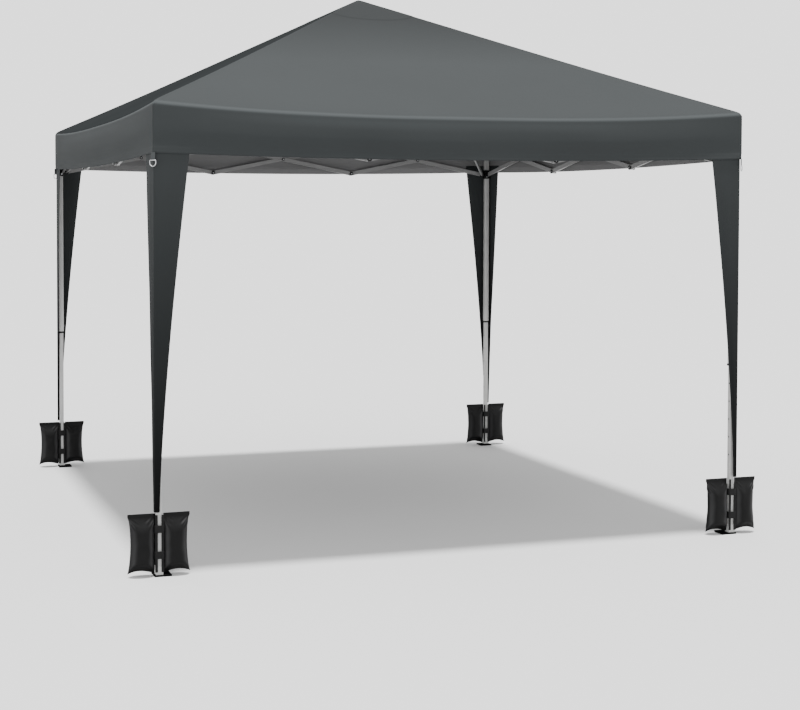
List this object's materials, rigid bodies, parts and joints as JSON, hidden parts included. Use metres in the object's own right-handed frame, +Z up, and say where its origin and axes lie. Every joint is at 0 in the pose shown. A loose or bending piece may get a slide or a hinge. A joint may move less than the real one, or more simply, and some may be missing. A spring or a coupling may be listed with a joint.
{
  "type": "pop up gazebo",
  "caption": "Pop-up gazebo: grey peaked fabric canopy with valance on a folding white steel scissor frame, with telescopic legs, corner drapes and weight bags.",
  "frame": {"origin": "centre of the footprint, on the ground", "axes": "+Z up, +X to the right along the front side, +Y from the front side to the back; the front is the -Y side"},
  "size_m": [3.236, 3.02, 2.815],
  "materials": {
    "frame_steel": "satin",
    "black_plastic": "matte",
    "canopy_fabric": "matte",
    "bag_fabric": "satin"
  },
  "bodies": {
    "upper_leg_front_left": {"upper_leg_front_left": "frame_steel", "canopy": "canopy_fabric", "leg_drape_front_left": "canopy_fabric"},
    "lower_leg_front_left": {"lower_leg_front_left": "frame_steel", "weight_bag_front_left": "bag_fabric"},
    "slider_front_left": {"slider_front_left": "black_plastic"},
    "outer_rafter_front_left": {"outer_rafter_front_left": "frame_steel"},
    "inner_rafter_front_left": {"inner_rafter_front_left": "frame_steel"},
    "rafter_strut_front_left": {"rafter_strut_front_left": "frame_steel"},
    "upper_leg_front_right": {"upper_leg_front_right": "frame_steel", "leg_drape_front_right": "canopy_fabric"},
    "lower_leg_front_right": {"lower_leg_front_right": "frame_steel", "weight_bag_front_right": "bag_fabric"},
    "slider_front_right": {"slider_front_right": "black_plastic"},
    "outer_rafter_front_right": {"outer_rafter_front_right": "frame_steel"},
    "inner_rafter_front_right": {"inner_rafter_front_right": "frame_steel"},
    "rafter_strut_front_right": {"rafter_strut_front_right": "frame_steel"},
    "upper_leg_back_left": {"upper_leg_back_left": "frame_steel", "leg_drape_back_left": "canopy_fabric"},
    "lower_leg_back_left": {"lower_leg_back_left": "frame_steel", "weight_bag_back_left": "bag_fabric"},
    "slider_back_left": {"slider_back_left": "black_plastic"},
    "outer_rafter_back_left": {"outer_rafter_back_left": "frame_steel"},
    "inner_rafter_back_left": {"inner_rafter_back_left": "frame_steel"},
    "rafter_strut_back_left": {"rafter_strut_back_left": "frame_steel"},
    "upper_leg_back_right": {"upper_leg_back_right": "frame_steel", "leg_drape_back_right": "canopy_fabric"},
    "lower_leg_back_right": {"lower_leg_back_right": "frame_steel", "weight_bag_back_right": "bag_fabric"},
    "slider_back_right": {"slider_back_right": "black_plastic"},
    "outer_rafter_back_right": {"outer_rafter_back_right": "frame_steel"},
    "inner_rafter_back_right": {"inner_rafter_back_right": "frame_steel"},
    "rafter_strut_back_right": {"rafter_strut_back_right": "frame_steel"},
    "center_hub": {"center_hub": "black_plastic", "peak_pole": "frame_steel", "peak_cap": "black_plastic"},
    "front_bar_falling_1": {"front_bar_falling_1": "frame_steel"},
    "front_bar_falling_2": {"front_bar_falling_2": "frame_steel"},
    "front_bar_falling_3": {"front_bar_falling_3": "frame_steel"},
    "front_bar_rising_1": {"front_bar_rising_1": "frame_steel"},
    "front_bar_rising_2": {"front_bar_rising_2": "frame_steel"},
    "front_bar_rising_3": {"front_bar_rising_3": "frame_steel"},
    "left_bar_falling_1": {"left_bar_falling_1": "frame_steel"},
    "left_bar_falling_2": {"left_bar_falling_2": "frame_steel"},
    "left_bar_falling_3": {"left_bar_falling_3": "frame_steel"},
    "left_bar_rising_1": {"left_bar_rising_1": "frame_steel"},
    "left_bar_rising_2": {"left_bar_rising_2": "frame_steel"},
    "left_bar_rising_3": {"left_bar_rising_3": "frame_steel"},
    "right_bar_falling_1": {"right_bar_falling_1": "frame_steel"},
    "right_bar_falling_2": {"right_bar_falling_2": "frame_steel"},
    "right_bar_falling_3": {"right_bar_falling_3": "frame_steel"},
    "right_bar_rising_1": {"right_bar_rising_1": "frame_steel"},
    "right_bar_rising_2": {"right_bar_rising_2": "frame_steel"},
    "right_bar_rising_3": {"right_bar_rising_3": "frame_steel"},
    "back_bar_falling_1": {"back_bar_falling_1": "frame_steel"},
    "back_bar_falling_2": {"back_bar_falling_2": "frame_steel"},
    "back_bar_falling_3": {"back_bar_falling_3": "frame_steel"},
    "back_bar_rising_1": {"back_bar_rising_1": "frame_steel"},
    "back_bar_rising_2": {"back_bar_rising_2": "frame_steel"},
    "back_bar_rising_3": {"back_bar_rising_3": "frame_steel"}
  },
  "joints": [
    {"name": "fold", "type": "hinge", "parent": "upper_leg_front_left", "child": "front_bar_falling_1", "pos_m": [-1.43, -1.47, 2.055], "axis": [0, 1, 0], "range_deg": [0, 73.31], "deforming": ["canopy"]},
    {"name": "front_rising_1_turn", "type": "hinge", "parent": "front_bar_falling_1", "child": "front_bar_rising_1", "pos_m": [-0.95333, -1.47, 1.9625], "axis": [0, 1, 0], "range_deg": [-146.61, 0]},
    {"name": "front_rising_2_turn", "type": "hinge", "parent": "front_bar_falling_1", "child": "front_bar_rising_2", "pos_m": [-0.47667, -1.47, 1.87], "axis": [0, 1, 0], "range_deg": [-146.61, 0]},
    {"name": "front_falling_2_turn", "type": "hinge", "parent": "front_bar_rising_2", "child": "front_bar_falling_2", "pos_m": [0, -1.47, 1.9625], "axis": [0, 1, 0], "range_deg": [0, 146.61]},
    {"name": "front_falling_3_turn", "type": "hinge", "parent": "front_bar_rising_2", "child": "front_bar_falling_3", "pos_m": [0.47667, -1.47, 2.055], "axis": [0, 1, 0], "range_deg": [0, 146.61]},
    {"name": "front_rising_3_turn", "type": "hinge", "parent": "front_bar_falling_3", "child": "front_bar_rising_3", "pos_m": [0.95333, -1.47, 1.9625], "axis": [0, 1, 0], "range_deg": [-146.61, 0]},
    {"name": "leg_front_right_turn", "type": "hinge", "parent": "front_bar_rising_3", "child": "upper_leg_front_right", "pos_m": [1.43, -1.47, 2.055], "axis": [0, 1, 0], "range_deg": [0, 73.31]},
    {"name": "slider_front_right_turn", "type": "hinge", "parent": "front_bar_falling_3", "child": "slider_front_right", "pos_m": [1.43, -1.47, 1.87], "axis": [0, 1, 0], "range_deg": [-73.31, 0]},
    {"name": "slider_front_left_turn", "type": "hinge", "parent": "front_bar_rising_1", "child": "slider_front_left", "pos_m": [-1.43, -1.47, 1.87], "axis": [0, 1, 0], "range_deg": [0, 73.31]},
    {"name": "left_falling_1_turn", "type": "hinge", "parent": "upper_leg_front_left", "child": "left_bar_falling_1", "pos_m": [-1.47, -1.43, 2.055], "axis": [-1, 0, 0], "range_deg": [0, 73.31]},
    {"name": "left_rising_1_turn", "type": "hinge", "parent": "left_bar_falling_1", "child": "left_bar_rising_1", "pos_m": [-1.47, -0.95333, 1.9625], "axis": [-1, 0, 0], "range_deg": [-146.61, 0]},
    {"name": "left_rising_2_turn", "type": "hinge", "parent": "left_bar_falling_1", "child": "left_bar_rising_2", "pos_m": [-1.47, -0.47667, 1.87], "axis": [-1, 0, 0], "range_deg": [-146.61, 0]},
    {"name": "left_falling_2_turn", "type": "hinge", "parent": "left_bar_rising_2", "child": "left_bar_falling_2", "pos_m": [-1.47, 0, 1.9625], "axis": [-1, 0, 0], "range_deg": [0, 146.61]},
    {"name": "left_falling_3_turn", "type": "hinge", "parent": "left_bar_rising_2", "child": "left_bar_falling_3", "pos_m": [-1.47, 0.47667, 2.055], "axis": [-1, 0, 0], "range_deg": [0, 146.61]},
    {"name": "left_rising_3_turn", "type": "hinge", "parent": "left_bar_falling_3", "child": "left_bar_rising_3", "pos_m": [-1.47, 0.95333, 1.9625], "axis": [-1, 0, 0], "range_deg": [-146.61, 0]},
    {"name": "leg_back_left_turn", "type": "hinge", "parent": "left_bar_rising_3", "child": "upper_leg_back_left", "pos_m": [-1.47, 1.43, 2.055], "axis": [-1, 0, 0], "range_deg": [0, 73.31]},
    {"name": "slider_back_left_turn", "type": "hinge", "parent": "left_bar_falling_3", "child": "slider_back_left", "pos_m": [-1.47, 1.43, 1.87], "axis": [-1, 0, 0], "range_deg": [-73.31, 0]},
    {"name": "right_falling_1_turn", "type": "hinge", "parent": "upper_leg_front_right", "child": "right_bar_falling_1", "pos_m": [1.47, -1.43, 2.055], "axis": [-1, 0, 0], "range_deg": [0, 73.31]},
    {"name": "right_rising_1_turn", "type": "hinge", "parent": "right_bar_falling_1", "child": "right_bar_rising_1", "pos_m": [1.47, -0.95333, 1.9625], "axis": [-1, 0, 0], "range_deg": [-146.61, 0]},
    {"name": "right_rising_2_turn", "type": "hinge", "parent": "right_bar_falling_1", "child": "right_bar_rising_2", "pos_m": [1.47, -0.47667, 1.87], "axis": [-1, 0, 0], "range_deg": [-146.61, 0]},
    {"name": "right_falling_2_turn", "type": "hinge", "parent": "right_bar_rising_2", "child": "right_bar_falling_2", "pos_m": [1.47, 0, 1.9625], "axis": [-1, 0, 0], "range_deg": [0, 146.61]},
    {"name": "right_falling_3_turn", "type": "hinge", "parent": "right_bar_rising_2", "child": "right_bar_falling_3", "pos_m": [1.47, 0.47667, 2.055], "axis": [-1, 0, 0], "range_deg": [0, 146.61]},
    {"name": "right_rising_3_turn", "type": "hinge", "parent": "right_bar_falling_3", "child": "right_bar_rising_3", "pos_m": [1.47, 0.95333, 1.9625], "axis": [-1, 0, 0], "range_deg": [-146.61, 0]},
    {"name": "leg_back_right_turn", "type": "hinge", "parent": "right_bar_rising_3", "child": "upper_leg_back_right", "pos_m": [1.47, 1.43, 2.055], "axis": [-1, 0, 0], "range_deg": [0, 73.31]},
    {"name": "slider_back_right_turn", "type": "hinge", "parent": "right_bar_falling_3", "child": "slider_back_right", "pos_m": [1.47, 1.43, 1.87], "axis": [-1, 0, 0], "range_deg": [-73.31, 0]},
    {"name": "back_falling_1_turn", "type": "hinge", "parent": "upper_leg_back_left", "child": "back_bar_falling_1", "pos_m": [-1.43, 1.47, 2.055], "axis": [0, 1, 0], "range_deg": [0, 73.31]},
    {"name": "back_rising_1_turn", "type": "hinge", "parent": "back_bar_falling_1", "child": "back_bar_rising_1", "pos_m": [-0.95333, 1.47, 1.9625], "axis": [0, 1, 0], "range_deg": [-146.61, 0]},
    {"name": "back_rising_2_turn", "type": "hinge", "parent": "back_bar_falling_1", "child": "back_bar_rising_2", "pos_m": [-0.47667, 1.47, 1.87], "axis": [0, 1, 0], "range_deg": [-146.61, 0]},
    {"name": "back_falling_2_turn", "type": "hinge", "parent": "back_bar_rising_2", "child": "back_bar_falling_2", "pos_m": [0, 1.47, 1.9625], "axis": [0, 1, 0], "range_deg": [0, 146.61]},
    {"name": "back_falling_3_turn", "type": "hinge", "parent": "back_bar_rising_2", "child": "back_bar_falling_3", "pos_m": [0.47667, 1.47, 2.055], "axis": [0, 1, 0], "range_deg": [0, 146.61]},
    {"name": "back_rising_3_turn", "type": "hinge", "parent": "back_bar_falling_3", "child": "back_bar_rising_3", "pos_m": [0.95333, 1.47, 1.9625], "axis": [0, 1, 0], "range_deg": [-146.61, 0]},
    {"name": "outer_rafter_front_left_turn", "type": "hinge", "parent": "upper_leg_front_left", "child": "outer_rafter_front_left", "pos_m": [-1.43111, -1.43111, 2.055], "axis": [0.7071, -0.7071, 0], "range_deg": [-103.77, 0]},
    {"name": "inner_rafter_front_left_turn", "type": "hinge", "parent": "outer_rafter_front_left", "child": "inner_rafter_front_left", "pos_m": [-0.73146, -0.73146, 2.3807], "axis": [0.7071, -0.7071, 0], "range_deg": [0, 171.1]},
    {"name": "hub_turn", "type": "hinge", "parent": "inner_rafter_front_left", "child": "center_hub", "pos_m": [-0.03182, -0.03182, 2.7064], "axis": [0.7071, -0.7071, 0], "range_deg": [-67.33, 0]},
    {"name": "outer_rafter_front_right_turn", "type": "hinge", "parent": "upper_leg_front_right", "child": "outer_rafter_front_right", "pos_m": [1.43111, -1.43111, 2.055], "axis": [0.7071, 0.7071, 0], "range_deg": [-103.77, 0]},
    {"name": "outer_rafter_back_left_turn", "type": "hinge", "parent": "upper_leg_back_left", "child": "outer_rafter_back_left", "pos_m": [-1.43111, 1.43111, 2.055], "axis": [-0.7071, -0.7071, 0], "range_deg": [-103.77, 0]},
    {"name": "outer_rafter_back_right_turn", "type": "hinge", "parent": "upper_leg_back_right", "child": "outer_rafter_back_right", "pos_m": [1.43111, 1.43111, 2.055], "axis": [-0.7071, 0.7071, 0], "range_deg": [-103.77, 0]},
    {"name": "rafter_strut_front_left_turn", "type": "hinge", "parent": "slider_front_left", "child": "rafter_strut_front_left", "pos_m": [-1.43111, -1.43111, 1.87], "axis": [0.7071, -0.7071, 0], "range_deg": [0, 48.57]},
    {"name": "leg_height_front_left", "type": "slide", "parent": "upper_leg_front_left", "child": "lower_leg_front_left", "axis": [0, 0, 1], "range_m": [0, 0.75], "deforming": ["leg_drape_front_left"]},
    {"name": "inner_rafter_front_right_turn", "type": "hinge", "parent": "center_hub", "child": "inner_rafter_front_right", "pos_m": [0.03182, -0.03182, 2.7064], "axis": [0.7071, 0.7071, 0], "range_deg": [0, 67.33]},
    {"name": "rafter_strut_front_right_turn", "type": "hinge", "parent": "slider_front_right", "child": "rafter_strut_front_right", "pos_m": [1.43111, -1.43111, 1.87], "axis": [0.7071, 0.7071, 0], "range_deg": [0, 48.57]},
    {"name": "leg_height_front_right", "type": "slide", "parent": "upper_leg_front_right", "child": "lower_leg_front_right", "axis": [0, 0, 1], "range_m": [0, 0.75], "deforming": ["leg_drape_front_right"]},
    {"name": "inner_rafter_back_left_turn", "type": "hinge", "parent": "center_hub", "child": "inner_rafter_back_left", "pos_m": [-0.03182, 0.03182, 2.7064], "axis": [-0.7071, -0.7071, 0], "range_deg": [0, 67.33]},
    {"name": "rafter_strut_back_left_turn", "type": "hinge", "parent": "slider_back_left", "child": "rafter_strut_back_left", "pos_m": [-1.43111, 1.43111, 1.87], "axis": [-0.7071, -0.7071, 0], "range_deg": [0, 48.57]},
    {"name": "leg_height_back_left", "type": "slide", "parent": "upper_leg_back_left", "child": "lower_leg_back_left", "axis": [0, 0, 1], "range_m": [0, 0.75], "deforming": ["leg_drape_back_left"]},
    {"name": "inner_rafter_back_right_turn", "type": "hinge", "parent": "center_hub", "child": "inner_rafter_back_right", "pos_m": [0.03182, 0.03182, 2.7064], "axis": [-0.7071, 0.7071, 0], "range_deg": [0, 67.33]},
    {"name": "rafter_strut_back_right_turn", "type": "hinge", "parent": "slider_back_right", "child": "rafter_strut_back_right", "pos_m": [1.43111, 1.43111, 1.87], "axis": [-0.7071, 0.7071, 0], "range_deg": [0, 48.57]},
    {"name": "leg_height_back_right", "type": "slide", "parent": "upper_leg_back_right", "child": "lower_leg_back_right", "axis": [0, 0, 1], "range_m": [0, 0.75], "deforming": ["leg_drape_back_right"]}
  ],
  "couplings": [
    {"joint": "front_rising_1_turn", "follows": "fold", "ratio": -2},
    {"joint": "front_rising_2_turn", "follows": "fold", "ratio": -2},
    {"joint": "front_falling_2_turn", "follows": "fold", "ratio": 2},
    {"joint": "front_falling_3_turn", "follows": "fold", "ratio": 2},
    {"joint": "front_rising_3_turn", "follows": "fold", "ratio": -2},
    {"joint": "leg_front_right_turn", "follows": "fold", "ratio": 1},
    {"joint": "slider_front_right_turn", "follows": "fold", "ratio": -1},
    {"joint": "slider_front_left_turn", "follows": "fold", "ratio": 1},
    {"joint": "left_falling_1_turn", "follows": "fold", "ratio": 1},
    {"joint": "left_rising_1_turn", "follows": "fold", "ratio": -2},
    {"joint": "left_rising_2_turn", "follows": "fold", "ratio": -2},
    {"joint": "left_falling_2_turn", "follows": "fold", "ratio": 2},
    {"joint": "left_falling_3_turn", "follows": "fold", "ratio": 2},
    {"joint": "left_rising_3_turn", "follows": "fold", "ratio": -2},
    {"joint": "leg_back_left_turn", "follows": "fold", "ratio": 1},
    {"joint": "slider_back_left_turn", "follows": "fold", "ratio": -1},
    {"joint": "right_falling_1_turn", "follows": "fold", "ratio": 1},
    {"joint": "right_rising_1_turn", "follows": "fold", "ratio": -2},
    {"joint": "right_rising_2_turn", "follows": "fold", "ratio": -2},
    {"joint": "right_falling_2_turn", "follows": "fold", "ratio": 2},
    {"joint": "right_falling_3_turn", "follows": "fold", "ratio": 2},
    {"joint": "right_rising_3_turn", "follows": "fold", "ratio": -2},
    {"joint": "leg_back_right_turn", "follows": "fold", "ratio": 1},
    {"joint": "slider_back_right_turn", "follows": "fold", "ratio": -1},
    {"joint": "back_falling_1_turn", "follows": "fold", "ratio": 1},
    {"joint": "back_rising_1_turn", "follows": "fold", "ratio": -2},
    {"joint": "back_rising_2_turn", "follows": "fold", "ratio": -2},
    {"joint": "back_falling_2_turn", "follows": "fold", "ratio": 2},
    {"joint": "back_falling_3_turn", "follows": "fold", "ratio": 2},
    {"joint": "back_rising_3_turn", "follows": "fold", "ratio": -2},
    {"joint": "outer_rafter_front_left_turn", "follows": "fold", "ratio": -1.4156},
    {"joint": "inner_rafter_front_left_turn", "follows": "fold", "ratio": 2.3341},
    {"joint": "hub_turn", "follows": "fold", "ratio": -0.91849},
    {"joint": "outer_rafter_front_right_turn", "follows": "fold", "ratio": -1.4156},
    {"joint": "outer_rafter_back_left_turn", "follows": "fold", "ratio": -1.4156},
    {"joint": "outer_rafter_back_right_turn", "follows": "fold", "ratio": -1.4156},
    {"joint": "rafter_strut_front_left_turn", "follows": "fold", "ratio": 0.66262},
    {"joint": "inner_rafter_front_right_turn", "follows": "fold", "ratio": 0.91849},
    {"joint": "rafter_strut_front_right_turn", "follows": "fold", "ratio": 0.66262},
    {"joint": "inner_rafter_back_left_turn", "follows": "fold", "ratio": 0.91849},
    {"joint": "rafter_strut_back_left_turn", "follows": "fold", "ratio": 0.66262},
    {"joint": "inner_rafter_back_right_turn", "follows": "fold", "ratio": 0.91849},
    {"joint": "rafter_strut_back_right_turn", "follows": "fold", "ratio": 0.66262}
  ]
}
